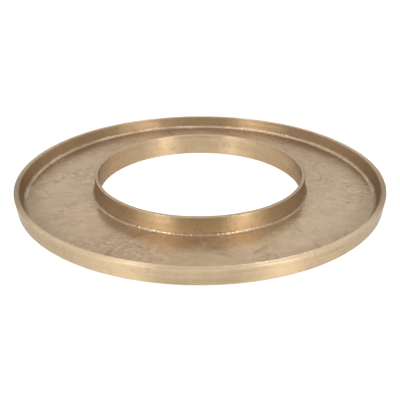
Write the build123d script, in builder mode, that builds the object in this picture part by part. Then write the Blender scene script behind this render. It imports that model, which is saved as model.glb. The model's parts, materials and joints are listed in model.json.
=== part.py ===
import os
from math import radians, tan

from build123d import *

os.makedirs("parts", exist_ok=True)

# A ring-shaped candle plate: a flat annular floor between a low flared rim and a taller
# collar round the centre opening. The metal pieces are turned about Z, the felt pads
# stand on Z = 0. Lengths are in millimetres, angles in degrees.

# Centre opening and the collar round it
opening_diameter = 221.2
collar_height = 24.1
collar_top_width = 3.8
collar_draft = 3.0
collar_edge_round = 0.6

# Candle trough, from wall to wall on the floor
trough_width = 74.2

# Outer rim, which leans outwards on both of its faces. Its top falls a little towards the outside,
# and the height is that of the sharp inner edge, before it is rounded.
rim_height = 19.1
rim_top_width = 5.4
rim_top_fall = 0.9
rim_inner_draft = 18.0
rim_outer_draft = 7.0
rim_inner_edge_round = 1.8
rim_outer_edge_round = 0.4
rim_foot_round = 3.0

# Floor plate, lying on a ledge inside each wall, above the walls' feet
floor_thickness = 3.0
floor_recess = 2.2
ledge_width = 2.0
braze_gap = 0.1

# Brazed beads in the corners between the floor and the walls, with hollow faces as molten
# filler leaves them. The hollow says how far the middle of such a face stands out of the
# corner, as a share of the bead's leg and rise.
outer_bead_leg = 3.6
outer_bead_rise = 3.4
inner_bead_leg = 2.8
inner_bead_rise = 2.8
bead_hollow = 0.34
bead_hollow_round = 1.6

# Felt pads under the floor, which hold the metal off the table
pad_count = 4
pad_diameter = 30.0
pad_stand = 0.6
pad_edge_round = 0.3
first_pad_angle = 45.0

# Levels above the table
foot_level = pad_stand
ledge_level = foot_level + floor_recess
floor_level = ledge_level + floor_thickness
rim_level = foot_level + rim_height
rim_outer_level = rim_level - rim_top_fall
collar_level = foot_level + collar_height

# Radii, from the opening outwards
opening_radius = opening_diameter / 2
collar_top_radius = opening_radius + collar_top_width
collar_seat_radius = collar_top_radius + (collar_level - floor_level) * tan(radians(collar_draft))
collar_ledge_radius = collar_seat_radius + ledge_width
rim_seat_radius = collar_seat_radius + trough_width
rim_ledge_radius = rim_seat_radius - ledge_width
rim_mouth_radius = rim_seat_radius + (rim_level - floor_level) * tan(radians(rim_inner_draft))
rim_top_radius = rim_mouth_radius + rim_top_width
rim_foot_radius = rim_top_radius - (rim_outer_level - foot_level) * tan(radians(rim_outer_draft))
pad_pitch_radius = (collar_ledge_radius + rim_ledge_radius) / 2

# Floor plate: a flat ring that drops into the seats of both walls
with BuildPart() as floor_plate:
    with BuildSketch(Plane.XY.offset(ledge_level)):
        Circle(rim_seat_radius - braze_gap)
        Circle(collar_seat_radius + braze_gap, mode=Mode.SUBTRACT)
    extrude(amount=floor_thickness)
floor_plate.part.label = "floor_plate"
export_step(floor_plate.part, "parts/floor_plate.step")

# Outer rim: straight seat for the floor's edge, then a wall that leans outwards
with BuildPart() as outer_rim:
    with BuildSketch(Plane.XZ) as rim_section:
        with BuildLine():
            Polyline(
                (rim_ledge_radius, foot_level),
                (rim_foot_radius, foot_level),
                (rim_top_radius, rim_outer_level),
                (rim_mouth_radius, rim_level),
                (rim_seat_radius, floor_level),
                (rim_seat_radius, ledge_level),
                (rim_ledge_radius, ledge_level),
                close=True,
            )
        make_face()
        fillet(rim_section.vertices().sort_by(Axis.Y)[-1], radius=rim_inner_edge_round)
        fillet(rim_section.vertices().sort_by(Axis.X)[-1], radius=rim_outer_edge_round)
        fillet(rim_section.vertices().group_by(Axis.Y)[0].sort_by(Axis.X)[-1], radius=rim_foot_round)
    revolve(axis=Axis.Z)
outer_rim.part.label = "outer_rim"
export_step(outer_rim.part, "parts/outer_rim.step")

# Inner collar: straight bore, and an outer face that narrows towards the top
with BuildPart() as inner_collar:
    with BuildSketch(Plane.XZ) as collar_section:
        with BuildLine():
            Polyline(
                (opening_radius, foot_level),
                (collar_ledge_radius, foot_level),
                (collar_ledge_radius, ledge_level),
                (collar_seat_radius, ledge_level),
                (collar_seat_radius, floor_level),
                (collar_top_radius, collar_level),
                (opening_radius, collar_level),
                close=True,
            )
        make_face()
        fillet(collar_section.vertices().group_by(Axis.Y)[-1], radius=collar_edge_round)
        fillet(collar_section.vertices().group_by(Axis.Y)[0].sort_by(Axis.X)[0], radius=collar_edge_round)
    revolve(axis=Axis.Z)
inner_collar.part.label = "inner_collar"
export_step(inner_collar.part, "parts/inner_collar.step")

# Bead along the rim's foot, lying on the floor and against the leaning wall
with BuildPart() as outer_seam_bead:
    with BuildSketch(Plane.XZ) as outer_bead_section:
        with BuildLine():
            outer_middle = (
                rim_seat_radius - bead_hollow * outer_bead_leg,
                floor_level + bead_hollow * outer_bead_rise,
            )
            outer_crest = (
                rim_seat_radius + outer_bead_rise * tan(radians(rim_inner_draft)),
                floor_level + outer_bead_rise,
            )
            Polyline(
                (rim_seat_radius, floor_level),
                (rim_seat_radius - outer_bead_leg, floor_level),
                outer_middle,
                outer_crest,
                close=True,
            )
        make_face()
        fillet(outer_bead_section.vertices().sort_by_distance(outer_middle)[0], radius=bead_hollow_round)
    revolve(axis=Axis.Z)
outer_seam_bead.part.label = "outer_seam_bead"
export_step(outer_seam_bead.part, "parts/outer_seam_bead.step")

# Bead along the collar's foot
with BuildPart() as inner_seam_bead:
    with BuildSketch(Plane.XZ) as inner_bead_section:
        with BuildLine():
            inner_middle = (
                collar_seat_radius + bead_hollow * inner_bead_leg,
                floor_level + bead_hollow * inner_bead_rise,
            )
            inner_crest = (
                collar_seat_radius - inner_bead_rise * tan(radians(collar_draft)),
                floor_level + inner_bead_rise,
            )
            Polyline(
                (collar_seat_radius, floor_level),
                (collar_seat_radius + inner_bead_leg, floor_level),
                inner_middle,
                inner_crest,
                close=True,
            )
        make_face()
        fillet(inner_bead_section.vertices().sort_by_distance(inner_middle)[0], radius=bead_hollow_round)
    revolve(axis=Axis.Z)
inner_seam_bead.part.label = "inner_seam_bead"
export_step(inner_seam_bead.part, "parts/inner_seam_bead.step")

# Felt pads: discs glued to the floor's underside, evenly spaced on one circle
pad_places = PolarLocations(pad_pitch_radius, pad_count, start_angle=first_pad_angle)
for number, place in enumerate(pad_places.locations, start=1):
    with BuildPart() as foot_pad:
        with BuildSketch(Plane(place)):
            Circle(pad_diameter / 2)
        extrude(amount=ledge_level)
        fillet(foot_pad.edges().group_by(Axis.Z)[0], radius=pad_edge_round)
    foot_pad.part.label = f"foot_pad_{number}"
    export_step(foot_pad.part, f"parts/foot_pad_{number}.step")

print(f"Plate {2 * rim_top_radius:.1f} mm across and {collar_level:.1f} mm high")
print(f"Trough floor between the beads {trough_width - outer_bead_leg - inner_bead_leg:.1f} mm wide")
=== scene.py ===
# %% [markdown]
# # A ring-shaped candle plate
#
# The plate is a shallow tray in the shape of a ring: candles stand in the trough between a low outer rim and a
# taller collar round the centre opening. Its metal has an antique brass finish. Rim and collar are polished by
# hand, the floor is left as rough as it was cast, and a brazed seam runs along the foot of each wall.
#
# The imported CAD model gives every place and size. Here it is dressed: each piece is worked out again as a fine
# surface with the unevenness that hand work leaves, and then gets its metal.

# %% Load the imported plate
import json
import math

import bpy
import numpy as np
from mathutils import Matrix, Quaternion, Vector


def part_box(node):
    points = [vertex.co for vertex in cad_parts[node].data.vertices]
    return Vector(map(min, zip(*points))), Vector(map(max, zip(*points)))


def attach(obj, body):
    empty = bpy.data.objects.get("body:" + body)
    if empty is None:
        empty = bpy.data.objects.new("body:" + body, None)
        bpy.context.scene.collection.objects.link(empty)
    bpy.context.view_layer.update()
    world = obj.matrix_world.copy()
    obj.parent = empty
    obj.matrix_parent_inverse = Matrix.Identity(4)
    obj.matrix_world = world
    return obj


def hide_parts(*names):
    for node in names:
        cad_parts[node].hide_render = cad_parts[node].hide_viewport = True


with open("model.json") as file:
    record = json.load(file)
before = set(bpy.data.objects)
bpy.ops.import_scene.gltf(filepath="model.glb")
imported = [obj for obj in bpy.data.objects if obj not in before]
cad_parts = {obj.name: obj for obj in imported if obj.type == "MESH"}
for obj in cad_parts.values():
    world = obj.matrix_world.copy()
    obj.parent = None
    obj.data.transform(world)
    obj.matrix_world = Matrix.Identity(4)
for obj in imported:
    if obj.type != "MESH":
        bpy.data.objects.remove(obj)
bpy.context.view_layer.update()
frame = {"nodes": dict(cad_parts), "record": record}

print("packed nodes:", sorted(frame["nodes"]))

# %% [markdown]
# ## Sizes
#
# All metal pieces are turned about Z, so a node's box already holds its greatest radius and its levels. What a
# box can't tell is inside the section: how far the walls lean and how wide their tops are. Those few sizes are
# named here, in metres and as slopes, and everything else follows from them.

# %% Sizes of the sections
MM = 0.001


def reach(node):
    """Greatest radius, lowest level and highest level of a node that is turned about Z."""
    low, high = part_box(node)
    return high.x, low.z, high.z


floor_radius, ledge_level, floor_level = reach("floor_plate")
_, foot_level, _ = reach("outer_rim")
collar_ledge_radius, _, collar_level = reach("inner_collar")
opening = next(mount for mount in frame["record"]["mounts"] if mount["name"] == "centre_opening")
opening_radius = opening["dims"]["r_mm"] * MM

braze_gap = 0.1 * MM
ledge_width = 2.0 * MM
rim_height = 19.1 * MM
rim_top_width = 5.4 * MM
rim_top_fall = 0.9 * MM
rim_inner_lean = math.tan(math.radians(18.0))
rim_outer_lean = math.tan(math.radians(7.0))
collar_top_width = 3.8 * MM
collar_lean = math.tan(math.radians(3.0))
rim_seam_leg = 3.6 * MM
rim_seam_rise = 3.4 * MM
collar_seam_leg = 2.8 * MM
collar_seam_rise = 2.8 * MM

rim_level = foot_level + rim_height
rim_outer_level = rim_level - rim_top_fall
rim_seat = floor_radius + braze_gap
rim_mouth = rim_seat + (rim_level - floor_level) * rim_inner_lean
rim_top = rim_mouth + rim_top_width
rim_foot = rim_top - (rim_outer_level - foot_level) * rim_outer_lean
collar_seat = collar_ledge_radius - ledge_width
collar_top = opening_radius + collar_top_width

print(f"opening {2000 * opening_radius:.1f} mm, trough {1000 * (rim_seat - collar_seat):.1f} mm wide")
print(f"rim mouth {2000 * rim_mouth:.1f} mm across, rim top {2000 * rim_top:.1f} mm across")

# %% [markdown]
# ## Camera
#
# A packshot camera stands a little under a metre away and looks down at the plate by about 25 degrees. The
# rings' ellipses give both numbers: how flat they are gives the height of the view, and how much larger the
# front half looks than the back half gives the distance. The small shift moves the picture without turning the
# camera, so the plate sits where it does in the frame.

# %% Camera
camera_distance = 0.796
camera_elevation = math.radians(24.83)
focal_length_mm = 64.64
frame_shift_up = -0.0246
camera_roll = math.radians(-0.13)

camera = bpy.data.objects.new("camera", bpy.data.cameras.new("camera"))
bpy.context.scene.collection.objects.link(camera)
bpy.context.scene.camera = camera
camera.data.lens = focal_length_mm
camera.data.shift_y = frame_shift_up
aim = Vector((0.0, 0.0, foot_level))
back = Vector((0.0, -math.cos(camera_elevation), math.sin(camera_elevation)))
camera.location = aim + camera_distance * back
camera.rotation_mode = "QUATERNION"
camera.rotation_quaternion = (-back).to_track_quat("-Z", "Y") @ Quaternion((0.0, 0.0, 1.0), camera_roll)
bpy.context.scene.view_settings.view_transform = "Standard"
print("camera at", [round(value, 4) for value in camera.location])

# %% [markdown]
# ## Node helpers
#
# Light and finishes are both small networks of nodes: each node does one step, and links carry colours and
# numbers from one step to the next. They could be drawn by hand in the Shader Editor. Short helpers that add a
# node, set it and join its inputs keep a network readable here, as a list of steps.

# %% Helpers for shader nodes
def join(tree, value, socket):
    """Give an input a plain value, or join it to another node's socket."""
    if isinstance(value, bpy.types.NodeSocket):
        tree.links.new(value, socket)
    else:
        socket.default_value = value


def add(tree, kind, inputs=None, **settings):
    """Add one shader node, with its settings and the values or links of its named inputs."""
    made = tree.nodes.new("ShaderNode" + kind)
    for label, value in settings.items():
        setattr(made, label, value)
    for label, value in (inputs or {}).items():
        join(tree, value, next(s for s in made.inputs if s.enabled and s.name == label))
    return made


def out(made, label=None):
    """A node's shown output, by name or the first one."""
    return next(s for s in made.outputs if s.enabled and label in (None, s.name))


def maths(tree, operation, first, second=0.0):
    """One arithmetic step on two numbers."""
    made = add(tree, "Math", operation=operation)
    join(tree, first, made.inputs[0])
    join(tree, second, made.inputs[1])
    return made.outputs[0]


def mix_shaders(tree, share, first, second):
    """The first shader where the share is 0, the second where it is 1."""
    made = add(tree, "MixShader")
    for value, socket in zip((share, first, second), made.inputs):
        join(tree, value, socket)
    return made.outputs[0]


print("node helpers:", [helper.__name__ for helper in (join, add, out, maths, mix_shaders)])

# %% [markdown]
# ## White studio
#
# Bare metal has hardly a colour of its own to show: it shows what stands around it. So the surroundings matter
# more than the lamps. The studio is white for the camera, and only moderately bright for the soft light that
# falls on felt and shadow. What the metal mirrors lies between the two: a bright belt half way up the sky that
# fades above and below, and that is why faces which lean differently differ in tone. A plain white world would be
# simpler, but then the walls would hardly stand out from each other.

# %% White studio
white = (1.0, 1.0, 1.0, 1.0)
soft_fill = 0.5
sky_belt = [(0.30, 0.44), (0.58, 1.0), (0.72, 1.0), (0.95, 0.45)]  # height of the direction, brightness


def seen_by_camera_or_mirror(tree):
    """1 for rays from the camera and for mirrored or transmitted rays, 0 for the rest."""
    path = add(tree, "LightPath")
    seen = maths(tree, "MAXIMUM", out(path, "Is Camera Ray"), out(path, "Is Glossy Ray"))
    return maths(tree, "MAXIMUM", seen, out(path, "Is Transmission Ray"))


world = bpy.data.worlds.new("white_studio")
bpy.context.scene.world = world
world.use_nodes = True
sky = world.node_tree
sky.nodes.clear()
direction = out(add(sky, "TexCoord"), "Generated")
upward = out(add(sky, "SeparateXYZ", {"Vector": direction}), "Z")
belt = add(sky, "ValToRGB", {"Fac": upward})
belt.color_ramp.interpolation = "EASE"
stops = belt.color_ramp.elements
stops[0].position, stops[1].position = sky_belt[0][0], sky_belt[-1][0]
for place, _ in sky_belt[1:-1]:
    stops.new(place)
for stop, (_, level) in zip(stops, sky_belt):
    stop.color = (level, level, level, 1.0)
to_camera = out(add(sky, "LightPath"), "Is Camera Ray")
belt_or_white = maths(sky, "MAXIMUM", out(belt), to_camera)
shown_sky = add(sky, "Background", {"Color": white, "Strength": belt_or_white})
fill_sky = add(sky, "Background", {"Color": white, "Strength": soft_fill})
studio = mix_shaders(sky, seen_by_camera_or_mirror(sky), out(fill_sky), out(shown_sky))
sky.links.new(studio, add(sky, "OutputWorld").inputs["Surface"])
print("sky belt:", [(round(stop.position, 2), round(stop.color[0], 2)) for stop in stops])

# %% [markdown]
# ## Soft boxes
#
# An upright polished wall mirrors what stands low beside it. So two narrow strips stand on the table in front,
# one to each side, and give rim and collar their pairs of bright bands. Wide boxes behind the strips soften the
# ends of the bands, two small lamps higher up put a sparkle on edges and seams, and a large one overhead fills
# from above. Left and right differ a little in power, and so do the bands.

# %% A soft box
def from_front(azimuth, elevation=0.0):
    """Direction from the plate to a lamp: azimuth 0 is in front and grows to the right."""
    level = math.cos(elevation)
    return Vector((math.sin(azimuth) * level, -math.cos(azimuth) * level, math.sin(elevation)))


def soft_box(name, place, facing, width, height, watts):
    """A rectangular lamp at a place, turned to shine in the facing direction, with its height upright."""
    lamp = bpy.data.lights.new(name, "AREA")
    lamp.shape = "RECTANGLE"
    lamp.size = width
    lamp.size_y = height
    lamp.energy = watts
    stand = bpy.data.objects.new(name, lamp)
    bpy.context.scene.collection.objects.link(stand)
    stand.location = place
    stand.rotation_mode = "QUATERNION"
    stand.rotation_quaternion = Vector(facing).to_track_quat("-Z", "Y")


print("half way to the right is", [round(part, 2) for part in from_front(math.radians(45.0))])

# %% Strips, wide boxes, small lamps and overhead
lamp_clearance = 0.02
strip_azimuth = math.radians(44.0)
strip_distance = 1.3
strip_width = 0.26
strip_height = 0.4
strip_watts = {"left": 0.345, "right": 1.38}
wide_azimuth = math.radians(47.0)
wide_distance = 1.4
wide_width = 1.0
wide_height = 1.5
wide_watts = 4.2
key_elevation = math.radians(45.0)
key_distance = 1.4
key_side = 0.22
key_watts = {"left": 1.5, "right": 0.9}
overhead_height = 1.6
overhead_side = 1.4
overhead_watts = 3.0

sides = (("left", -1), ("right", 1))
for side, turn in sides:
    outward = from_front(turn * strip_azimuth)
    middle = strip_distance * outward + Vector((0.0, 0.0, 0.5 * strip_height + lamp_clearance))
    soft_box(f"{side}_strip", middle, -outward, strip_width, strip_height, strip_watts[side])
for side, turn in sides:
    outward = from_front(turn * wide_azimuth)
    middle = wide_distance * outward + Vector((0.0, 0.0, 0.5 * wide_height + lamp_clearance))
    soft_box(f"{side}_box", middle, -outward, wide_width, wide_height, wide_watts)
for side, turn in sides:
    outward = from_front(turn * strip_azimuth, key_elevation)
    soft_box(f"{side}_key", key_distance * outward, -outward, key_side, key_side, key_watts[side])
above = Vector((0.0, 0.0, overhead_height))
soft_box("overhead", above, -above, overhead_side, overhead_side, overhead_watts)
print("lamps, watts:", {light.name: round(light.energy, 2) for light in bpy.data.lights})

# %% [markdown]
# ## White table
#
# The table is one large square. To the camera and to the metal it glows a little by itself, so it is white from
# edge to edge and still keeps the plate's soft shadow. To all other light it is a plain pale grey.

# %% White table
table_half = 6.0
table_glow = 0.8
seen_grey = (0.5, 0.5, 0.5, 1.0)
lit_grey = (0.8, 0.8, 0.8, 1.0)

table_mesh = bpy.data.meshes.new("white_table")
table_corners = [(x * table_half, y * table_half, 0.0) for x, y in ((-1, -1), (1, -1), (1, 1), (-1, 1))]
table_mesh.from_pydata(table_corners, [], [(0, 1, 2, 3)])
white_table = bpy.data.objects.new("white_table", table_mesh)
bpy.context.scene.collection.objects.link(white_table)

table_paint = bpy.data.materials.new("white_table")
table_paint.use_nodes = True
table_tree = table_paint.node_tree
table_tree.nodes.clear()
glow = add(table_tree, "Emission", {"Color": white, "Strength": table_glow})
shaded = add(table_tree, "BsdfDiffuse", {"Color": seen_grey})
glow_and_shade = add(table_tree, "AddShader")
table_tree.links.new(out(glow), glow_and_shade.inputs[0])
table_tree.links.new(out(shaded), glow_and_shade.inputs[1])
plain = add(table_tree, "BsdfDiffuse", {"Color": lit_grey})
seen = seen_by_camera_or_mirror(table_tree)
table_look = mix_shaders(table_tree, seen, out(plain), out(glow_and_shade))
table_tree.links.new(table_look, add(table_tree, "OutputMaterial").inputs["Surface"])
table_mesh.materials.append(table_paint)
print(f"table: {2 * table_half} m square, glow {table_glow}")

# %% [markdown]
# ## Turning a section
#
# Rim, collar, floor and seams are all one thing to a lathe: a closed section carried once round the axis.
# Blender's Screw modifier could spin such a section, but every turn would then be perfect. Worked out as arrays,
# radius and height can differ a little from angle to angle, as they do on a ring that was finished by hand.
# Three helpers do it: one draws a section with rounded corners, one makes soft unevenness, and one carries the
# section round and builds the mesh.

# %% A section with rounded corners
def rounded_section(corners, rounds, spacing, arc_points=7, edge_reach=1.2 * MM):
    """A closed outline in the radius-height plane, anticlockwise, with rounded corners.

    At each corner both sides are cut back by round / tan(half the inside angle), and an arc that touches them
    bridges the gap. The straight runs between the arcs are divided about every `spacing`, which is one value
    or one for each run. Returns the points and, for each point, how close it is to a rounded corner: 1 on the
    arc, falling off over `edge_reach`.
    """
    corners = np.array(corners)
    spacing = np.broadcast_to(spacing, len(corners))
    rounds = np.array(rounds)[:, None]
    back_along = np.roll(corners, 1, axis=0) - corners
    on_along = np.roll(corners, -1, axis=0) - corners
    back_along /= np.linalg.norm(back_along, axis=1, keepdims=True)
    on_along /= np.linalg.norm(on_along, axis=1, keepdims=True)
    half = np.arccos((back_along * on_along).sum(axis=1, keepdims=True)) / 2
    start = corners + back_along * rounds / np.tan(half)
    end = corners + on_along * rounds / np.tan(half)
    inward = back_along + on_along
    inward /= np.linalg.norm(inward, axis=1, keepdims=True)
    centre = corners + inward * rounds / np.sin(half)
    share = np.linspace(0.0, 1.0, arc_points)
    sweep = np.pi - 2 * half
    points = []
    for i in range(len(corners)):
        if rounds[i, 0] > 0:
            first = np.sin((1 - share) * sweep[i]) / np.sin(sweep[i])
            last = np.sin(share * sweep[i]) / np.sin(sweep[i])
            arms = np.outer(first, start[i] - centre[i]) + np.outer(last, end[i] - centre[i])
            points.append(centre[i] + arms)
        else:
            points.append(corners[i:i + 1])
        run = start[(i + 1) % len(corners)] - end[i]
        pieces = max(1, round(float(np.linalg.norm(run)) / spacing[i]))
        points.append(end[i] + np.outer(np.arange(1, pieces) / pieces, run))
    points = np.concatenate(points)
    arc_middles = (centre - inward * rounds)[rounds[:, 0] > 0]
    nearest = np.linalg.norm(points[:, None] - arc_middles[None], axis=2).min(axis=1)
    return points, np.exp(-(nearest / edge_reach) ** 2)


trial_square = [(0.0, 0.0), (10 * MM, 0.0), (10 * MM, 10 * MM), (0.0, 10 * MM)]
trial_points, _ = rounded_section(trial_square, [1 * MM] * 4, 2 * MM)
print("a rounded square of 10 mm takes", len(trial_points), "points")

# %% Soft unevenness
def smooth_noise(shape, cell, wavelength, seed):
    """Soft random unevenness on a grid that closes on itself in both directions.

    White noise is taken apart into waves, a wave of frequency f shrinks by exp(-(wavelength f)^2 / 2) in each
    direction, and the sum of what is left is scaled to a spread of 1.
    """
    grains = np.random.default_rng(seed).standard_normal(shape)
    around = np.fft.fftfreq(shape[0], cell[0])[:, None] * wavelength[0]
    across = np.fft.rfftfreq(shape[1], cell[1])[None, :] * wavelength[1]
    soft = np.fft.irfft2(np.fft.rfft2(grains) * np.exp(-(around ** 2 + across ** 2) / 2), shape)
    return (soft - soft.mean()) / soft.std()


def ring_noise(steps, cell, wavelength, seed):
    """Soft unevenness that only changes round the ring: one value for each angle."""
    return smooth_noise((steps, 1), (cell, 1.0), (wavelength, 0.0), seed)


trial_noise = ring_noise(360, 1.0, 30.0, 1)
print(f"noise round a ring runs from {trial_noise.min():.1f} to {trial_noise.max():.1f}")

# %% A section carried round the axis
def ring_angles(steps):
    """Evenly spaced angles once round the ring, as a column."""
    return 2 * np.pi * np.arange(steps)[:, None] / steps


def ring_piece(name, radius, height, attributes):
    """A mesh from a section carried round Z: place p of the section, at angle a, is (r cos a, r sin a, z).

    Radius and height are arrays of angles by section places. The faces join each place to the next place and
    the next angle, and the last ones join back to the first, so the surface is closed without a seam.
    """
    steps, places = radius.shape
    angle = ring_angles(steps)
    co = np.stack([radius * np.cos(angle), radius * np.sin(angle), height], axis=-1)
    index = np.arange(steps * places).reshape(steps, places)
    next_angle = np.roll(index, -1, axis=0)
    opposite = np.roll(next_angle, -1, axis=1)
    next_place = np.roll(index, -1, axis=1)
    quads = np.stack([index, next_angle, opposite, next_place], axis=-1).reshape(-1, 4)
    mesh = bpy.data.meshes.new(name)
    mesh.vertices.add(steps * places)
    mesh.vertices.foreach_set("co", co.astype(np.float32).ravel())
    mesh.loops.add(quads.size)
    mesh.polygons.add(len(quads))
    mesh.polygons.foreach_set("loop_start", np.arange(0, quads.size, 4, dtype=np.int32))
    mesh.polygons.foreach_set("vertices", quads.astype(np.int32).ravel())
    mesh.update(calc_edges=True)
    mesh.shade_smooth()
    for label, values in attributes.items():
        layer = mesh.attributes.new(label, "FLOAT", "POINT")
        full = np.broadcast_to(values, radius.shape)
        layer.data.foreach_set("value", full.astype(np.float32).ravel())
    piece = bpy.data.objects.new(name, mesh)
    bpy.context.scene.collection.objects.link(piece)
    print(f"{name}: {steps} x {places} places, {2 * len(quads)} triangles")
    return piece


print("four angles round a ring, in degrees:", np.degrees(ring_angles(4)).ravel().round().tolist())

# %% [markdown]
# ## Shape of the walls
#
# Rim and collar were turned, filed and polished by hand. Seen along the wall, the light wavers a little: the face
# swells and dips by up to a quarter of a millimetre over a few centimetres, and the top edge isn't quite level. A
# perfect lathe surface would show dead straight highlights, so soft noise is added to radius and height. The
# greatest radius and the greatest height stay those of the section, which keeps a wall inside its CAD size.

# %% Uneven walls
wall_spacing = 1.1 * MM
long_swell = (38 * MM, 16 * MM)  # round the ring, along the section
short_swell = (9 * MM, 4 * MM)
short_share = 0.35
swell_limit = 3.0
top_wave = 120 * MM
top_dip = 0.08 * MM
dip_limit = 2.0


def wall_cell(points, steps):
    """Mean distance between neighbours round the ring and along the section, for noise of a real size."""
    along = np.linalg.norm(np.roll(points, -1, axis=0) - points, axis=1)
    return 2 * np.pi * points[:, 0].mean() / steps, float(along.mean())


def share_of_height(points):
    """0 at the lowest place of a section, 1 at its highest."""
    return (points[:, 1] - points[:, 1].min()) / np.ptp(points[:, 1])


def uneven_wall(points, steps, swell, seed):
    """Radius and height of a wall, as arrays of angles by section places.

    The radius is the section's, pushed by a long swell and a share of a short one, both scaled by `swell` and
    held within limits, and then drawn in until no place is wider than the section. The height is the section's,
    lowered by a slow wave that runs round the ring, fully at the top and not at the foot.
    """
    cell = wall_cell(points, steps)
    shape = (steps, len(points))
    long_waves = smooth_noise(shape, cell, long_swell, seed)
    short_waves = smooth_noise(shape, cell, short_swell, seed + 1)
    push = swell * (long_waves + short_share * short_waves)
    radius = points[:, 0] + np.clip(push, -swell_limit * swell, swell_limit * swell)
    radius -= max(0.0, float(radius.max() - points[:, 0].max()))
    dip = top_dip * np.clip(ring_noise(steps, cell[0], top_wave, seed + 2), -dip_limit, dip_limit)
    height = points[:, 1] + (dip - dip.max()) * share_of_height(points)
    return radius, height


print(f"walls: a place every {1000 * wall_spacing:.1f} mm")
print(f"tops dip by up to {2000 * dip_limit * top_dip:.2f} mm")

# %% [markdown]
# ## Wear of the walls
#
# Hand work isn't even, and neither is use. A face that is hard to reach stays duller and keeps more of its dark
# patina. The ring's two sides are painted darker still, as painted shade. The clear lacquer is thick on some faces
# and gone from others. Tops and edges are rubbed bright; on the rim's inner edge this lighter tone is partly a
# painted highlight, with bright painted glints near the front right, and the rim's outer edge is painted in the
# top's tone so that no line of shade shows there. The foot of the collar, where no wheel reaches, stays matt, and
# in front it carries a warm painted reflection of the floor. All this could be painted on by hand. Here each kind
# of mark is a formula of the place on the ring, kept in the mesh as an attribute, which the metal only has to read.

# %% Faces of a wall
def face_shares(points):
    """How far each place belongs to the outer face, the inner face and the top of a wall.

    The two parts of a place's direction along the section have squares that add up to 1. Going down is the
    inner face, going inwards is the top, and what is left counts as the outer face.
    """
    ahead = np.roll(points, -1, axis=0) - np.roll(points, 1, axis=0)
    ahead /= np.linalg.norm(ahead, axis=1, keepdims=True)
    inner = np.clip(-ahead[:, 1], 0.0, 1.0) ** 2
    top = np.clip(-ahead[:, 0], 0.0, 1.0) ** 2
    return np.stack([1 - inner - top, inner, top])


print("a square is outer face, inner face and top by", face_shares(trial_points).mean(axis=1).round(2).tolist())

# %% Wear of a wall
# The glints are painted highlights: bright specks of colour along the rim's inner edge, round one angle at the front
# right.
glint_heart = math.radians(-69.0)
glint_focus = 20.0
glint_grain = (2.6 * MM, 3.0 * MM)
brightest_glint = 1.5
edge_widening = 0.35
top_zone = 0.9
upper_half = 0.5
foot_slope = 1.3
foot_start = 0.1
foot_reflection_focus = 3


def wall_wear(points, edge, steps, seed, wear):
    """Attributes of a wall: a value for each place, from the numbers in `wear`.

    `dull`, the shade at the sides, `stain` and `lacquer` give three numbers each, for the outer face, the inner face
    and the top: how much less than usual it is polished, how much painted shade darkens it at the ring's sides (by
    cos^2 of the angle), how much patina it kept and how much lacquer. `worn` is how far the top is rubbed bright in
    front and at the back, `rubbed` how far its outer and its inner edge are made lighter, by rubbing and, on the
    rim's inner edge, as a painted highlight. `merged` paints the outer edge in the top's tone, so that no line of
    shade shows between top and wall, `glints` paints bright specks as highlights along the inner edge round
    `glint_heart`, and `matt_foot` takes the polish off the outer face, more and more towards the floor; in front,
    the matt foot is also painted warmer and lighter, as a painted reflection of the floor.
    """
    faces = face_shares(points)
    angle = ring_angles(steps)
    high = share_of_height(points)
    outer_side = points[:, 0] > points[high > top_zone, 0].mean()
    top_edge = edge ** edge_widening * (high > upper_half)

    behind = 0.5 + 0.5 * np.sin(angle)
    worn_top = (wear["worn"][0] * (1 - behind) + wear["worn"][1] * behind) * faces[2]
    # The outer edge is painted in the top's tone, so that no line of shade shows between top and wall.
    merged = wear["merged"] * top_edge * outer_side

    specks = smooth_noise((steps, len(points)), wall_cell(points, steps), glint_grain, seed + 3)
    near_heart = np.exp(glint_focus * (np.cos(angle - glint_heart) - 1))
    glints = wear["glints"] * np.clip(specks, 0.0, brightest_glint) * near_heart * top_edge * ~outer_side

    low_down = np.clip(1 - (points[:, 1] - floor_level) / (points[:, 1].max() - floor_level), 0.0, 1.0)
    matt = wear["matt_foot"] * np.clip(foot_slope * low_down - foot_start, 0.0, 1.0) * faces[0]
    return {
        # On the rim's inner edge the lighter rubbed tone is partly a painted highlight.
        "edge": edge * np.where(outer_side, *wear["rubbed"]),
        # The dull value includes painted shade: the ring's two sides are darkened by cos^2 of the angle.
        "dull": wear["dull"] @ faces + np.cos(angle) ** 2 * (wear["painted_shade_at_sides"] @ faces),
        "stain": wear["stain"] @ faces,
        "worn": np.maximum(worn_top, merged),
        "lacquer": wear["lacquer"] @ faces,
        "matt": matt,
        # In front the matt foot also takes a painted warm reflection of the floor.
        "warm": matt * np.clip(-np.sin(angle), 0.0, 1.0) ** foot_reflection_focus,
        "glint": glints,
    }


print(f"glints lie round {math.degrees(glint_heart):.0f} degrees, seen from above")

# %% [markdown]
# ## Outer rim and inner collar
#
# The rim is a low band that leans outwards, with a broad top that falls a little to the outside. The collar is
# taller, thinner and almost upright, and its top was polished in crossing strokes, so its top faces go into a
# material slot of their own. Both have a ledge at the foot, on which the floor lies.

# %% Outer rim
def wall_piece(name, corners, rounds, steps, swell, seed, wear, top_slot=0):
    """A whole wall: its rounded section made uneven, worn and carried round. The top's faces take `top_slot`."""
    points, edge = rounded_section(corners, rounds, wall_spacing)
    radius, height = uneven_wall(points, steps, swell, seed)
    wall = ring_piece(name, radius, height, wall_wear(points, edge, steps, seed, wear))
    top = face_shares(points)[2]
    on_top = (top + np.roll(top, -1) > 1.0) * top_slot
    wall.data.polygons.foreach_set("material_index", np.tile(on_top, steps).astype(np.int32))
    return wall


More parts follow.
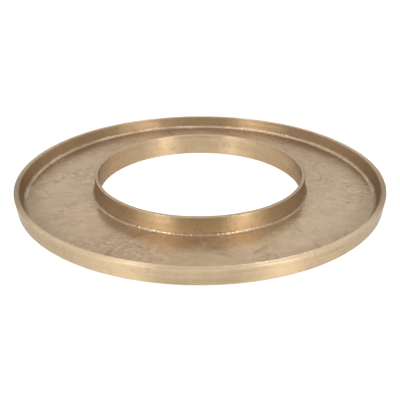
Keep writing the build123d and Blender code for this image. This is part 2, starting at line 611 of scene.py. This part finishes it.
rim_corners = [
    (rim_seat - ledge_width, foot_level),
    (rim_foot, foot_level),
    (rim_top, rim_outer_level),
    (rim_mouth, rim_level),
    (rim_seat, floor_level),
    (rim_seat, ledge_level),
    (rim_seat - ledge_width, ledge_level),
]
rim_rounds = [0.3 * MM, 3.0 * MM, 0.4 * MM, 1.8 * MM, 0.0, 0.0, 0.2 * MM]
# Painted shade: the extra dullness at the ring's sides darkens the rim's inner face there.
rim_wear = {
    "dull": (0.0, 1.05, 0.0),
    "painted_shade_at_sides": (0.0, 0.3, 0.0),
    "stain": (0.35, 0.65, 0.2),
    "lacquer": (0.55, 0.0, 0.75),
    "worn": (0.75, 0.8),
    "rubbed": (0.0, 0.8),
    "merged": 0.4,
    "glints": 1.5,
    "matt_foot": 0.0,
}
rim_band = wall_piece("rim_band", rim_corners, rim_rounds, steps=1080, swell=0.05 * MM, seed=11, wear=rim_wear)

# %% Inner collar
collar_corners = [
    (opening_radius, foot_level),
    (collar_ledge_radius, foot_level),
    (collar_ledge_radius, ledge_level),
    (collar_seat, ledge_level),
    (collar_seat, floor_level),
    (collar_top, collar_level),
    (opening_radius, collar_level),
]
collar_rounds = [0.6 * MM, 0.3 * MM, 0.2 * MM, 0.0, 0.0, 0.8 * MM, 0.8 * MM]
# Painted shade: the extra dullness at the ring's sides darkens the collar's faces there.
collar_wear = {
    "dull": (0.1, 0.0, 0.3),
    "painted_shade_at_sides": (1.0, 0.75, 0.0),
    "stain": (0.22, 0.15, 0.6),
    "lacquer": (0.2, 0.2, 0.7),
    "worn": (-0.15, 0.6),
    "rubbed": (0.1, 0.1),
    "merged": 0.0,
    "glints": 0.0,
    "matt_foot": 1.0,
}
collar_band = wall_piece(
    "collar_band",
    collar_corners,
    collar_rounds,
    steps=840,
    swell=0.08 * MM,
    seed=23,
    wear=collar_wear,
    top_slot=1,
)

# %% [markdown]
# ## Floor
#
# The floor is left as it came out of the sand: gently wavy, with rougher and smoother fields, and lumpier along the
# rim, where it was hard to clean. What is large enough to bend a reflection is modelled, and only the grain finer
# than a millimetre is left to the material. One grid carries both faces and both edges of the plate, close enough
# for the ripples on its upper face and wide apart on its underside.

# %% Floor relief
floor_steps = 1080
floor_spacing = np.array([6.0, 1.5, 1.15, 1.5]) * MM  # underside, outer edge, upper face, inner edge
floor_round = 0.2 * MM
floor_sink = 0.12 * MM
wave_length = 17 * MM
ripple_length = 3 * MM
lump_length = 4 * MM
field_length = (60 * MM, 45 * MM)
field_contrast = 3.2
field_start = 0.35
rim_band_width = 7 * MM

floor_corners = [
    (collar_seat + braze_gap, ledge_level),
    (floor_radius, ledge_level),
    (floor_radius, floor_level),
    (collar_seat + braze_gap, floor_level),
]
floor_points, _ = rounded_section(floor_corners, [floor_round] * 4, floor_spacing, arc_points=3)
floor_rings = floor_points[:, 0]
floor_shape = (floor_steps, len(floor_points))
floor_cell = (2 * np.pi * floor_rings.mean() / floor_steps, floor_spacing[2])
waves = smooth_noise(floor_shape, floor_cell, (wave_length, wave_length), 31)
ripples = smooth_noise(floor_shape, floor_cell, (ripple_length, ripple_length), 32)
lumps = smooth_noise(floor_shape, floor_cell, (lump_length, lump_length), 34)
fields = smooth_noise(floor_shape, floor_cell, field_length, 3597)
rough_field = 1 / (1 + np.exp(-field_contrast * (fields - field_start)))  # a soft step from smooth 0 to rough 1
by_rim = np.exp(-((floor_rings - floor_radius + rim_band_width) / rim_band_width) ** 2)

# Height in millimetres: waves everywhere, ripples in the rough fields, lumps along the rim
wave_depth = 0.02
ripple_depth = 0.002 + 0.09 * rough_field ** 2 + 0.05 * by_rim * rough_field
lump_depth = 0.003 + 0.08 * by_rim * (0.2 + rough_field)
relief = (wave_depth * waves + ripple_depth * ripples + lump_depth * lumps) * MM
underside = floor_points[:, 1] < floor_level - 0.5 * floor_round
relief = np.where(underside, 0.0, relief - floor_sink)
floor_height = np.minimum(floor_points[:, 1] + relief, floor_level)
print(f"floor relief: spread {1000 * relief[:, ~underside].std():.3f} mm, never above the CAD floor")

# %% [markdown]
# ## Tones of the floor
#
# The floor's tone drifts round the ring. Brown patina gathers on two opposite sides. The middle of the front is
# darker in the outer half of the trough: painted shade, where the floor mirrors the collar's dark face. Along the
# rim lies a dark border, wider in four places: patina along the rim together with a painted reflection of the dark
# rim wall. In front of the collar, strongest to both sides of the middle, the patina is thinned and the metal made
# yellower, as a painted reflection of the collar's bright bands. These drifts are far larger than a texture, so
# they are formulas of the angle and of the share of the way across the trough, kept as attributes.

# %% Floor tones
patina_heart = math.radians(75.0)
front_focus = 30

floor_angle = ring_angles(floor_steps)
across_trough = (floor_rings - collar_seat) / (rim_seat - collar_seat)
in_front = np.clip(-np.sin(floor_angle), 0.0, 1.0)
# Painted reflection: in front of the collar, strongest to both sides of the middle, the floor is made yellower and
# its patina thinner.
painted_glow = np.clip(1.4 - 3.2 * across_trough, 0.0, 1.0) * (in_front ** 2 - 0.65 * in_front ** front_focus)
patina = 0.6 + 0.4 * np.cos(2 * (floor_angle - patina_heart))
# Painted shade: the middle of the front, in the outer half of the trough, gets more patina tone where the floor
# mirrors the collar's dark face.
patina = patina + 0.5 * in_front ** front_focus * np.clip(2 * across_trough, 0.0, 1.0)
patina = patina * (1 - 0.7 * painted_glow)

# The border is patina along the rim together with a painted reflection of the dark rim wall.
border_width = (12 + 7 * np.abs(np.sin(2 * floor_angle))) * MM
border = np.exp(-((rim_seat - rim_seam_leg - floor_rings) / border_width) ** 2)
border = border * np.clip(0.68 + 0.27 * np.cos(2 * floor_angle) - 0.12 * np.cos(4 * floor_angle), 0.0, 1.0)
border = border * (0.75 + 0.25 * np.sin(floor_angle))

floor_tones = {"rough_field": rough_field, "patina": patina, "border": border, "painted_glow": painted_glow}
trough_floor = ring_piece("trough_floor", np.broadcast_to(floor_rings, floor_shape), floor_height, floor_tones)
print("mean tones:", {label: round(float(np.mean(values)), 2) for label, values in floor_tones.items()})

# %% [markdown]
# ## Brazed seams
#
# Where the floor meets a wall, filler metal was run into the corner. Molten filler climbs both sides and leaves a
# hollow face, which was then only rubbed over, so it swells and thins every few millimetres. A plain fillet would
# look machined. Here the face is a curve from the floor up to the wall that is pulled towards the corner, and the
# whole section is scaled by noise that runs round the ring. Each seam is lumpiest at one angle, its heart: the
# rim's at the back, where it is also painted lighter, partly as rubbing and partly as a painted highlight, the
# collar's in front. A seam reaches a little into floor and wall, so that no gap shows where these are uneven.

# %% Shape of a seam
seam_lump = 1.8 * MM
seam_swell = 14 * MM
seam_skin = (1.5 * MM, 1.2 * MM)
seam_stretch = 70 * MM
seam_change = 0.05
seam_sunk = 0.08
seam_pull = 0.06
seam_face_points = 15


def seam_piece(name, corner, toe, crest, steps, seed, bright, heart):
    """A hollow bead in a corner, carried round Z.

    The face is a quadratic curve (1-t)^2 toe + 2 t (1-t) middle + t^2 crest. Its middle lies in the corner,
    but for the share `seam_pull` of the way to toe and crest. Its distance from the corner is then scaled by
    lumps and swells that run round the ring, and a little by a finer skin. The bead is lumpiest at the angle
    `heart` and smoothest across from it. `bright` is how far it is painted lighter, as rubbing and as a painted
    highlight, most near the heart, in some stretches more than in others, and where the skin stands out.
    """
    corner, toe, crest = np.array(corner), np.array(toe), np.array(crest)
    middle = corner + seam_pull * (toe - corner) + seam_pull * (crest - corner)
    t = np.linspace(0.0, 1.0, seam_face_points)[:, None]
    face = (1 - t) ** 2 * toe + 2 * t * (1 - t) * middle + t ** 2 * crest
    sunk = corner - seam_sunk * (toe - corner) - seam_sunk * (crest - corner)
    section = np.concatenate([sunk[None], face])
    ahead = np.roll(section, -1, axis=0)
    clockwise = (section[:, 0] * ahead[:, 1] - section[:, 1] * ahead[:, 0]).sum() < 0
    if clockwise:
        section = section[::-1]
    cell = (2 * np.pi * corner[0] / steps, float(np.linalg.norm(np.diff(face, axis=0), axis=1).mean()))
    lumps = ring_noise(steps, cell[0], seam_lump, seed)
    swells = ring_noise(steps, cell[0], seam_swell, seed + 1)
    skin = smooth_noise((steps, len(section)), cell, seam_skin, seed + 2)
    stretches = ring_noise(steps, cell[0], seam_stretch, seed + 3)

    towards_heart = np.cos(ring_angles(steps) - heart)
    lively = 0.55 + 0.45 * towards_heart
    size = np.clip(1.0 + seam_change * lively * lumps + seam_change * swells, 0.7, 1.2)
    grown = corner + (section - corner) * (size * (1 + seam_change * lively * skin))[:, :, None]
    # Painted lighter where rubbed, and as a painted highlight: most towards the heart and in some stretches.
    worn = np.clip(0.05 + 0.4 * stretches + 0.65 * np.clip(towards_heart, 0.0, 1.0) ** 3, 0.0, 1.3)
    rubbed = bright * worn * np.clip(0.6 + 0.4 * skin, 0.0, 1.0)
    return ring_piece(name, grown[..., 0], grown[..., 1], {"bright": rubbed})


print(f"a seam's lumps are about {1000 * seam_lump:.1f} mm long, its swells {1000 * seam_swell:.0f} mm")

# %% Both seams
seam_into_floor = 0.3 * MM
seam_into_wall = 0.15 * MM

rim_seam = seam_piece(
    "rim_seam",
    corner=(rim_seat, floor_level),
    toe=(rim_seat - rim_seam_leg, floor_level - seam_into_floor),
    crest=(rim_seat + rim_seam_rise * rim_inner_lean + seam_into_wall, floor_level + rim_seam_rise),
    steps=2400,
    seed=156,
    bright=1.2,
    heart=math.radians(90.0),
)
collar_seam = seam_piece(
    "collar_seam",
    corner=(collar_seat, floor_level),
    toe=(collar_seat + collar_seam_leg, floor_level - seam_into_floor),
    crest=(collar_seat - collar_seam_rise * collar_lean - seam_into_wall, floor_level + collar_seam_rise),
    steps=1500,
    seed=51,
    bright=0.0,
    heart=math.radians(-90.0),
)

# %% [markdown]
# ## Felt pads
#
# Four discs of pressed felt are glued under the floor and keep the metal off the table. Felt is cut with a punch,
# so a disc's edge is crisp above and pressed round below, and its faces are a little uneven. A cylinder with a
# Bevel modifier would do for the shape. Rings of places about the disc's own axis give the uneven faces too.

# %% Pads
pad_rounds = [0.0, 0.45 * MM, 0.15 * MM, 0.0]
pad_spacing = 1.5 * MM
fuzz_length = (3 * MM, 2 * MM)
fuzz_cell = 1.0 * MM
edge_fuzz = 0.05 * MM
face_fuzz = 0.04 * MM
pole_hole = 0.2 * MM
pad_seed = 60


def felt_pad(name, node, seed, steps=72):
    """A disc from rings about its own axis: radius and height follow a rounded outline, and the poles are points.

    Noise takes a little off the radius, and off the height towards the middle of the felt.
    """
    low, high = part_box(node)
    middle = (low + high) / 2
    half = (high.x - low.x) / 2
    outline = [(0.0, low.z), (half, low.z), (half, high.z), (0.0, high.z)]
    points, _ = rounded_section(outline, pad_rounds, pad_spacing)
    rings = points[points[:, 0] > pole_hole]
    shape = (steps, len(rings))
    fuzz = np.abs(smooth_noise(shape, (2 * np.pi * half / steps, fuzz_cell), fuzz_length, seed))
    angle = ring_angles(steps)
    radius = rings[:, 0] - edge_fuzz * fuzz
    height = rings[:, 1] - np.sign(rings[:, 1] - middle.z) * face_fuzz * fuzz
    co = np.stack([middle.x + radius * np.cos(angle), middle.y + radius * np.sin(angle), height], axis=-1)
    poles = np.array([(middle.x, middle.y, height[:, 0].mean()), (middle.x, middle.y, height[:, -1].mean())])
    index = np.arange(steps * len(rings)).reshape(shape)
    onward = np.roll(index, -1, axis=0)
    quads = np.stack([index[:, :-1], onward[:, :-1], onward[:, 1:], index[:, 1:]], axis=-1).reshape(-1, 4)
    lower_pole, upper_pole = index.size, index.size + 1
    lower_fan = np.stack([onward[:, 0], index[:, 0], np.full(steps, lower_pole)], axis=-1)
    upper_fan = np.stack([index[:, -1], onward[:, -1], np.full(steps, upper_pole)], axis=-1)
    mesh = bpy.data.meshes.new(name)
    vertices = np.concatenate([co.reshape(-1, 3), poles])
    mesh.from_pydata(vertices.tolist(), [], quads.tolist() + lower_fan.tolist() + upper_fan.tolist())
    mesh.shade_smooth()
    pad = bpy.data.objects.new(name, mesh)
    bpy.context.scene.collection.objects.link(pad)
    return pad


felt_pads = [felt_pad(f"felt_pad_{number}", f"foot_pad_{number}", pad_seed + number) for number in range(1, 5)]
print("pads:", {pad.name: len(pad.data.polygons) for pad in felt_pads})

# %% [markdown]
# ## Shared finishes
#
# Four things happened to the metal here, and most finishes show more than one of them. Antique patina lies in
# clouds. Polishing leaves lines that run round the ring. Sand casting leaves grain and pits, and fine flow lines
# where two streams of molten metal met. Each could be copied from material to material. As a node group with
# named inputs it is built once, and each metal that shows it sets its own values.

# %% Steps of a finish
def times(tree, first, second):
    """One number times another."""
    return maths(tree, "MULTIPLY", first, second)


def scaled(tree, vector, scale):
    """A place moved away from the centre by a scale, which makes a pattern on it finer."""
    return out(add(tree, "VectorMath", {"Vector": vector, "Scale": scale}, operation="SCALE"))


def noise(tree, vector, scale, detail, roughness):
    """Cloudy noise between 0 and 1, with about `scale` cells to the metre."""
    inputs = {"Vector": vector, "Scale": scale, "Detail": detail, "Roughness": roughness}
    return out(add(tree, "TexNoise", inputs))


def remap(tree, value, low, high, to_low=0.0, to_high=1.0):
    """Stretch a value from low..high to to_low..to_high, held at both ends."""
    inputs = {"Value": value, "From Min": low, "From Max": high, "To Min": to_low, "To Max": to_high}
    return out(add(tree, "MapRange", inputs, clamp=True))


def blend_colour(tree, share, first, second):
    """The first colour where the share is 0, the second where it is 1."""
    return out(add(tree, "Mix", {"Factor": share, "A": first, "B": second}, data_type="RGBA"))


print("steps:", [helper.__name__ for helper in (times, scaled, noise, remap, blend_colour)])

# %% Helpers for node groups
def new_group(name, takes, gives):
    """A shader node group with named sockets; returns its tree, its inputs and its outputs."""
    group = bpy.data.node_groups.new(name, "ShaderNodeTree")
    kinds = {"vector": "NodeSocketVector", "value": "NodeSocketFloat", "colour": "NodeSocketColor"}
    for label, kind in takes.items():
        group.interface.new_socket(label, in_out="INPUT", socket_type=kinds[kind])
    for label, kind in gives.items():
        group.interface.new_socket(label, in_out="OUTPUT", socket_type=kinds[kind])
    print(f"{name}: takes {list(takes)}, gives {list(gives)}")
    return group, group.nodes.new("NodeGroupInput").outputs, group.nodes.new("NodeGroupOutput").inputs


def use_group(tree, group, inputs):
    """Place a group in a material and join its inputs."""
    made = tree.nodes.new("ShaderNodeGroup")
    made.node_tree = group
    for label, value in inputs.items():
        join(tree, value, made.inputs[label])
    return made.outputs


print("node groups so far:", len(bpy.data.node_groups))

# %% Clouds of patina
# Broad and fine noise are added, and the sum, stretched to 0..1, says how far the dark tone covers the light one.
clouds_group, takes, gives = new_group(
    "tarnish_clouds",
    {"Vector": "vector", "Light": "colour", "Dark": "colour", "Contrast": "value"},
    {"Color": "colour", "Clouds": "value"},
)
broad = noise(clouds_group, takes["Vector"], scale=30.0, detail=4.0, roughness=0.6)
fine = noise(clouds_group, takes["Vector"], scale=140.0, detail=3.0, roughness=0.6)
mixed = maths(clouds_group, "ADD", times(clouds_group, broad, 0.55), times(clouds_group, fine, 0.45))
cloud = remap(clouds_group, mixed, 0.34, 0.66)
covered = times(clouds_group, cloud, takes["Contrast"])
toned = blend_colour(clouds_group, covered, takes["Light"], takes["Dark"])
clouds_group.links.new(toned, gives["Color"])
clouds_group.links.new(cloud, gives["Clouds"])

# %% Lines of the polish
# The lines change fast across the wall and slowly along it. Four-dimensional noise does that without a seam: the
# place is its slow part and the distance across is its fast part.
lines_group, takes, gives = new_group(
    "polish_lines",
    {"Vector": "vector", "Across": "value"},
    {"Lines": "value"},
)
slow = scaled(lines_group, takes["Vector"], 13.0)
fast = times(lines_group, takes["Across"], 620.0)
drawn = add(
    lines_group,
    "TexNoise",
    {"Vector": slow, "W": fast, "Scale": 1.0, "Detail": 4.0, "Roughness": 0.65},
    noise_dimensions="4D",
)
lines_group.links.new(remap(lines_group, out(drawn), 0.32, 0.68), gives["Lines"])

# %% Grain and pits of the casting
# Grain is fine noise. Pits are hollows at the middles of irregular cells, in some patches only.
grain_group, takes, gives = new_group(
    "cast_grain",
    {"Vector": "vector", "Amount": "value"},
    {"Height": "value", "Pits": "value"},
)
grains = noise(grain_group, takes["Vector"], scale=320.0, detail=4.0, roughness=0.6)
cells = add(grain_group, "TexVoronoi", {"Vector": takes["Vector"], "Scale": 210.0, "Randomness": 1.0}, feature="F1")
hollow = remap(grain_group, out(cells, "Distance"), 0.12, 0.42, 1.0, 0.0)
pitted = noise(grain_group, takes["Vector"], scale=90.0, detail=2.0, roughness=0.5)
patches = remap(grain_group, pitted, 0.5, 0.62)
pits = times(grain_group, times(grain_group, hollow, patches), takes["Amount"])
raised = maths(grain_group, "SUBTRACT", times(grain_group, grains, takes["Amount"]), pits)
grain_group.links.new(raised, gives["Height"])
grain_group.links.new(pits, gives["Pits"])

# %% Flow lines of the casting
# A line lies where broad noise, on a place that other noise sways, is close to one half. A third noise breaks it up.
flow_group, takes, gives = new_group("flow_lines", {"Vector": "vector"}, {"Lines": "value"})
sway_inputs = {"Vector": takes["Vector"], "Scale": 30.0, "Detail": 4.0, "Roughness": 0.6}
sway = scaled(flow_group, out(add(flow_group, "TexNoise", sway_inputs), "Color"), 0.010)
swayed = add(flow_group, "VectorMath", operation="ADD")
flow_group.links.new(takes["Vector"], swayed.inputs[0])
flow_group.links.new(sway, swayed.inputs[1])
streams = noise(flow_group, out(swayed), scale=8.0, detail=0.0, roughness=0.5)
from_line = maths(flow_group, "ABSOLUTE", maths(flow_group, "SUBTRACT", streams, 0.5))
stroke = remap(flow_group, from_line, 0.0, 0.011, 1.0, 0.0)
breaks = noise(flow_group, takes["Vector"], scale=38.0, detail=2.0, roughness=0.5)
broken = times(flow_group, stroke, remap(flow_group, breaks, 0.46, 0.58))
flow_group.links.new(broken, gives["Lines"])

# %% [markdown]
# ## Starting a material
#
# Every finish below is one Principled shader with a network of its own in front of it, and most networks want the
# same few things: the place on the plate, a value that the mesh carries, fine relief, the direction round the ring,
# and colours laid over each other like coats of paint. Helpers keep these in one place. Object coordinates are
# used for the place, because they stay with the plate however it is turned.

# %% Helpers for materials
def start_material(name):
    """An empty material with a Principled shader; returns it, its tree, the shader and the Object coordinates."""
    paint = bpy.data.materials.new(name)
    paint.use_nodes = True
    tree = paint.node_tree
    tree.nodes.clear()
    shader = add(tree, "BsdfPrincipled")
    tree.links.new(shader.outputs["BSDF"], add(tree, "OutputMaterial").inputs["Surface"])
    return paint, tree, shader, out(add(tree, "TexCoord"), "Object")


def mark(tree, name):
    """The value that the piece's mesh carries as an attribute of this name."""
    return out(add(tree, "Attribute", attribute_name=name), "Fac")


def bumps(tree, height, strength, depth):
    """The normal of a surface with fine relief of this depth, in metres."""
    return out(add(tree, "Bump", {"Height": height, "Strength": strength, "Distance": depth}))


def round_the_ring(tree):
    """The direction that runs round Z, for highlights that are stretched across it."""
    return out(add(tree, "Tangent", direction_type="RADIAL", axis="Z"))


def lay_over(tree, tone, coats):
    """Cover a tone with one colour after another, each as far as its share says."""
    for share, colour in coats:
        tone = blend_colour(tree, share, tone, colour)
    return tone


print("material helpers:", [helper.__name__ for helper in (start_material, mark, bumps, round_the_ring, lay_over)])

# %% [markdown]
# ## Polished walls
#
# The walls are a warm polished gold. They are full metal, so the colour written here is the colour of what they
# mirror. Fine polishing lines stretch each highlight across the lines, which the shader calls anisotropy: with
# the tangent laid round the ring, a lamp becomes an upright band. The coat stands for the clear lacquer. On the
# collar's top the strokes crossed, so there the same metal is used without the stretch.

# %% Polished walls
wall_gold = (0.755, 0.57, 0.35, 1.0)
wall_patina = (0.48, 0.345, 0.20, 1.0)
# Colour of dull faces, and of the painted shade at the ring's sides.
dull_and_side_shade_brown = (0.56, 0.322, 0.166, 1.0)
line_brown = (0.42, 0.298, 0.17, 1.0)
# Colour of rubbed edges, on the rim's inner edge partly a painted highlight.
rubbed_edge_and_highlight_gold = (0.86, 0.72, 0.56, 1.0)
# Colour of the painted warm reflection on the collar's foot in front.
painted_foot_reflection_gold = (1.0, 0.675, 0.35, 1.0)
worn_gold = (0.94, 0.72, 0.47, 1.0)
pit_brown = (0.30, 0.20, 0.11, 1.0)
# Colour of the painted glints on the rim's inner edge.
painted_glint_gold = (1.0, 0.92, 0.74, 1.0)
glancing_tint = (0.3, 0.29, 0.28, 1.0)
lacquer_roughness = 0.2
quarter_turn = 0.25


def satin_wall(name, stretch):
    """Hand-polished wall: gold under clouds of patina, with its wear laid over it layer by layer.

    First come dull faces with painted shade at the ring's sides, polishing lines and rubbed edges, in part painted
    highlight, then the painted warm reflection on the foot, the worn top, pits and the painted glints.
    `stretch` is the anisotropy: 1 where all strokes of the polish ran round the ring, 0 where they crossed.
    """
    paint, tree, shader, place = start_material(name)
    level = out(add(tree, "SeparateXYZ", {"Vector": place}), "Z")
    stain, dull, edge = mark(tree, "stain"), mark(tree, "dull"), mark(tree, "edge")
    clouds = use_group(tree, clouds_group, {
        "Vector": place,
        "Light": wall_gold,
        "Dark": wall_patina,
        "Contrast": remap(tree, stain, 0.0, 1.0, 0.3, 0.75),
    })
    lines = use_group(tree, lines_group, {"Vector": place, "Across": level})["Lines"]
    grain = use_group(tree, grain_group, {"Vector": place, "Amount": 0.35})

    streaks = times(tree, lines, remap(tree, stain, 0.0, 1.0, 0.18, 0.5))
    tone = lay_over(tree, clouds["Color"], [
        # Dull faces, with painted shade at the ring's sides.
        (times(tree, dull, 0.5), dull_and_side_shade_brown),
        (streaks, line_brown),
        # Rubbed edges, on the rim's inner edge partly a painted highlight.
        (times(tree, edge, 0.3), rubbed_edge_and_highlight_gold),
        # Painted reflection: the warm foot of the collar in front.
        (times(tree, mark(tree, "warm"), 0.8), painted_foot_reflection_gold),
        (mark(tree, "worn"), worn_gold),
        (grain["Pits"], pit_brown),
        # Painted highlights: the glints.
        (mark(tree, "glint"), painted_glint_gold),
    ])
    join(tree, tone, shader.inputs["Base Color"])

    satin = maths(tree, "ADD", remap(tree, lines, 0.0, 1.0, 0.36, 0.48), times(tree, dull, 0.03))
    satin = maths(tree, "ADD", satin, remap(tree, edge, 0.0, 1.0, 0.0, 0.2))
    satin = maths(tree, "ADD", satin, times(tree, mark(tree, "matt"), 0.24))
    join(tree, satin, shader.inputs["Roughness"])
    relief = maths(tree, "ADD", times(tree, lines, 0.5), grain["Height"])
    join(tree, bumps(tree, relief, strength=0.35, depth=0.12 * MM), shader.inputs["Normal"])

    shader.inputs["Metallic"].default_value = 1.0
    shader.inputs["Specular Tint"].default_value = glancing_tint
    join(tree, mark(tree, "lacquer"), shader.inputs["Coat Weight"])
    shader.inputs["Coat Roughness"].default_value = lacquer_roughness
    shader.inputs["Anisotropic"].default_value = stretch
    shader.inputs["Anisotropic Rotation"].default_value = quarter_turn
    join(tree, round_the_ring(tree), shader.inputs["Tangent"])
    return paint


wall_metal = satin_wall("satin_wall", stretch=1.0)
crossed_polish = satin_wall("crossed_polish", stretch=0.0)
print(f"{wall_metal.name} and {crossed_polish.name}: {len(wall_metal.node_tree.nodes)} nodes each")

# %% [markdown]
# ## Cast floor
#
# The floor is greyer and darker than the walls, because its grain scatters the light and dirt stays in the grain.
# Dirt isn't metal, so the floor is only about three quarters metallic. Specks, pits and flow lines are laid over
# the clouds first, specks and pits most of all in the rough fields. Then come the large tones that the mesh
# carries: patina with painted shade in the middle of the front, the painted reflection in front of the collar,
# and the border along the rim, patina together with a painted reflection of the rim wall.

# %% Cast floor
floor_gold = (0.81, 0.602, 0.405, 1.0)
floor_patina = (0.43, 0.31, 0.205, 1.0)
dark_speck = (0.38, 0.27, 0.17, 1.0)
light_speck = (0.98, 0.80, 0.60, 1.0)
crack_brown = (0.26, 0.18, 0.11, 1.0)
# Colour of the patina, and of the painted shade in the middle of the front.
patina_and_shade_brown = (0.34, 0.20, 0.10, 1.0)
# Colour of the painted reflection in front of the collar.
painted_glow_gold = (0.62, 0.56, 0.36, 1.0)
olive_gold = (0.66, 0.55, 0.33, 1.0)
# Colour of the border along the rim: patina and a painted reflection of the rim wall.
patina_and_rim_reflection_brown = (0.20, 0.125, 0.07, 1.0)
floor_metallic = 0.72


def cast_floor():
    """Rough cast floor: specks, pits, flow lines and large tones laid over clouds of greyer gold."""
    paint, tree, shader, place = start_material("cast_floor")
    clouds = use_group(tree, clouds_group, {
        "Vector": scaled(tree, place, 0.9),
        "Light": floor_gold,
        "Dark": floor_patina,
        "Contrast": 0.52,
    })
    rough = mark(tree, "rough_field")
    grain = use_group(tree, grain_group, {"Vector": place, "Amount": remap(tree, rough, 0.1, 0.9, 0.08, 1.0)})
    long_lines = use_group(tree, flow_group, {"Vector": place})["Lines"]
    short_lines = use_group(tree, flow_group, {"Vector": scaled(tree, place, 2.3)})["Lines"]
    flow = maths(tree, "MAXIMUM", long_lines, times(tree, short_lines, 0.4))
    speckle = noise(tree, place, scale=260.0, detail=3.0, roughness=0.7)
    speckle_share = remap(tree, rough, 0.1, 0.9, 0.14, 0.65)
    dark_specks = times(tree, remap(tree, speckle, 0.48, 0.66), speckle_share)
    light_specks = times(tree, remap(tree, speckle, 0.46, 0.32), speckle_share)
    drift = noise(tree, place, scale=22.0, detail=2.0, roughness=0.5)
    olive = remap(tree, drift, 0.45, 0.62)

    tone = lay_over(tree, clouds["Color"], [
        (dark_specks, dark_speck),
        (light_specks, light_speck),
        (times(tree, grain["Pits"], 0.6), crack_brown),
        (times(tree, flow, 0.65), crack_brown),
        # Patina, with painted shade in the middle of the front.
        (times(tree, mark(tree, "patina"), 0.3), patina_and_shade_brown),
        # Painted reflection in front of the collar.
        (times(tree, mark(tree, "painted_glow"), 0.45), painted_glow_gold),
        (times(tree, olive, 0.22), olive_gold),
        # Border along the rim: patina and a painted reflection of the rim wall.
        (times(tree, mark(tree, "border"), 0.68), patina_and_rim_reflection_brown),
    ])
    join(tree, tone, shader.inputs["Base Color"])
    join(tree, remap(tree, rough, 0.0, 1.0, 0.26, 0.36), shader.inputs["Roughness"])
    shader.inputs["Metallic"].default_value = floor_metallic
    relief = maths(tree, "SUBTRACT", grain["Height"], times(tree, flow, 0.5))
    join(tree, bumps(tree, relief, strength=0.36, depth=0.4 * MM), shader.inputs["Normal"])
    return paint


floor_metal = cast_floor()
print(f"{floor_metal.name}: {len(floor_metal.node_tree.nodes)} nodes")

# %% [markdown]
# ## Seam metal
#
# The filler of the seams is darker than the walls, except where it is painted lighter, as rubbing and as a painted
# highlight. It is smooth in the light clouds and satin in the dark ones, so its lumps catch small lights. Wall metal
# could be used here too, but then the seam would lose its line.

# %% Seam metal
seam_gold = (0.58, 0.435, 0.29, 1.0)
seam_patina = (0.33, 0.235, 0.14, 1.0)
# Colour of rubbed filler, which is partly a painted highlight.
rubbed_and_highlight_gold = (0.98, 0.80, 0.62, 1.0)
seam_anisotropy = 0.8


def seam_metal():
    """Filler metal: clouds of brown and gold with grain, lighter where the mesh says that it is rubbed bright."""
    paint, tree, shader, place = start_material("seam")
    clouds = use_group(tree, clouds_group, {
        "Vector": place,
        "Light": seam_gold,
        "Dark": seam_patina,
        "Contrast": 0.6,
    })
    grain = use_group(tree, grain_group, {"Vector": place, "Amount": 0.6})
    # Rubbed bright, partly as a painted highlight.
    tone = blend_colour(tree, times(tree, mark(tree, "bright"), 0.6), clouds["Color"], rubbed_and_highlight_gold)
    join(tree, tone, shader.inputs["Base Color"])
    join(tree, remap(tree, clouds["Clouds"], 0.0, 1.0, 0.2, 0.38), shader.inputs["Roughness"])
    join(tree, bumps(tree, grain["Height"], strength=0.4, depth=0.2 * MM), shader.inputs["Normal"])
    shader.inputs["Metallic"].default_value = 1.0
    shader.inputs["Anisotropic"].default_value = seam_anisotropy
    shader.inputs["Anisotropic Rotation"].default_value = quarter_turn
    join(tree, round_the_ring(tree), shader.inputs["Tangent"])
    return paint


filler_metal = seam_metal()
print(f"{filler_metal.name}: {len(filler_metal.node_tree.nodes)} nodes")

# %% [markdown]
# ## Felt
#
# Felt is the opposite of metal: dark, rough and soft, with a faint sheen from the fibres that stand up. Hair
# particles could make real fibres, but on pads this small, under the plate, two sizes of noise are enough.

# %% Felt
felt_dark = (0.045, 0.034, 0.026, 1.0)
felt_light = (0.11, 0.085, 0.066, 1.0)


def pressed_felt():
    """Dark brown wool felt: fine fibres and broader tufts give its tone and its relief."""
    paint, tree, shader, place = start_material("felt")
    fibres = noise(tree, place, scale=1500.0, detail=5.0, roughness=0.7)
    tufts = noise(tree, place, scale=260.0, detail=3.0, roughness=0.6)
    wool = maths(tree, "ADD", times(tree, fibres, 0.6), times(tree, tufts, 0.4))
    join(tree, blend_colour(tree, remap(tree, wool, 0.3, 0.7), felt_dark, felt_light), shader.inputs["Base Color"])
    join(tree, bumps(tree, wool, strength=0.6, depth=0.4 * MM), shader.inputs["Normal"])
    shader.inputs["Roughness"].default_value = 0.95
    shader.inputs["Sheen Weight"].default_value = 0.3
    return paint


felt = pressed_felt()
print(f"{felt.name}: {len(felt.node_tree.nodes)} nodes")

# %% [markdown]
# ## Putting it together
#
# Each piece says which CAD node it stands for and which finish it takes, and rides on the plate's one body.

finishes = {"satin_wall": wall_metal, "cast_floor": floor_metal, "seam": filler_metal, "felt": felt}
dressed = [
    (rim_band, "outer_rim", "satin_wall"),
    (collar_band, "inner_collar", "satin_wall"),
    (trough_floor, "floor_plate", "cast_floor"),
    (rim_seam, "outer_seam_bead", "seam"),
    (collar_seam, "inner_seam_bead", "seam"),
]
dressed += [(pad, f"foot_pad_{number}", "felt") for number, pad in enumerate(felt_pads, start=1)]
for piece, node, finish in dressed:
    piece.data.materials.append(finishes[finish])
    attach(piece, "root")
    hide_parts(node)
collar_band.data.materials.append(crossed_polish)
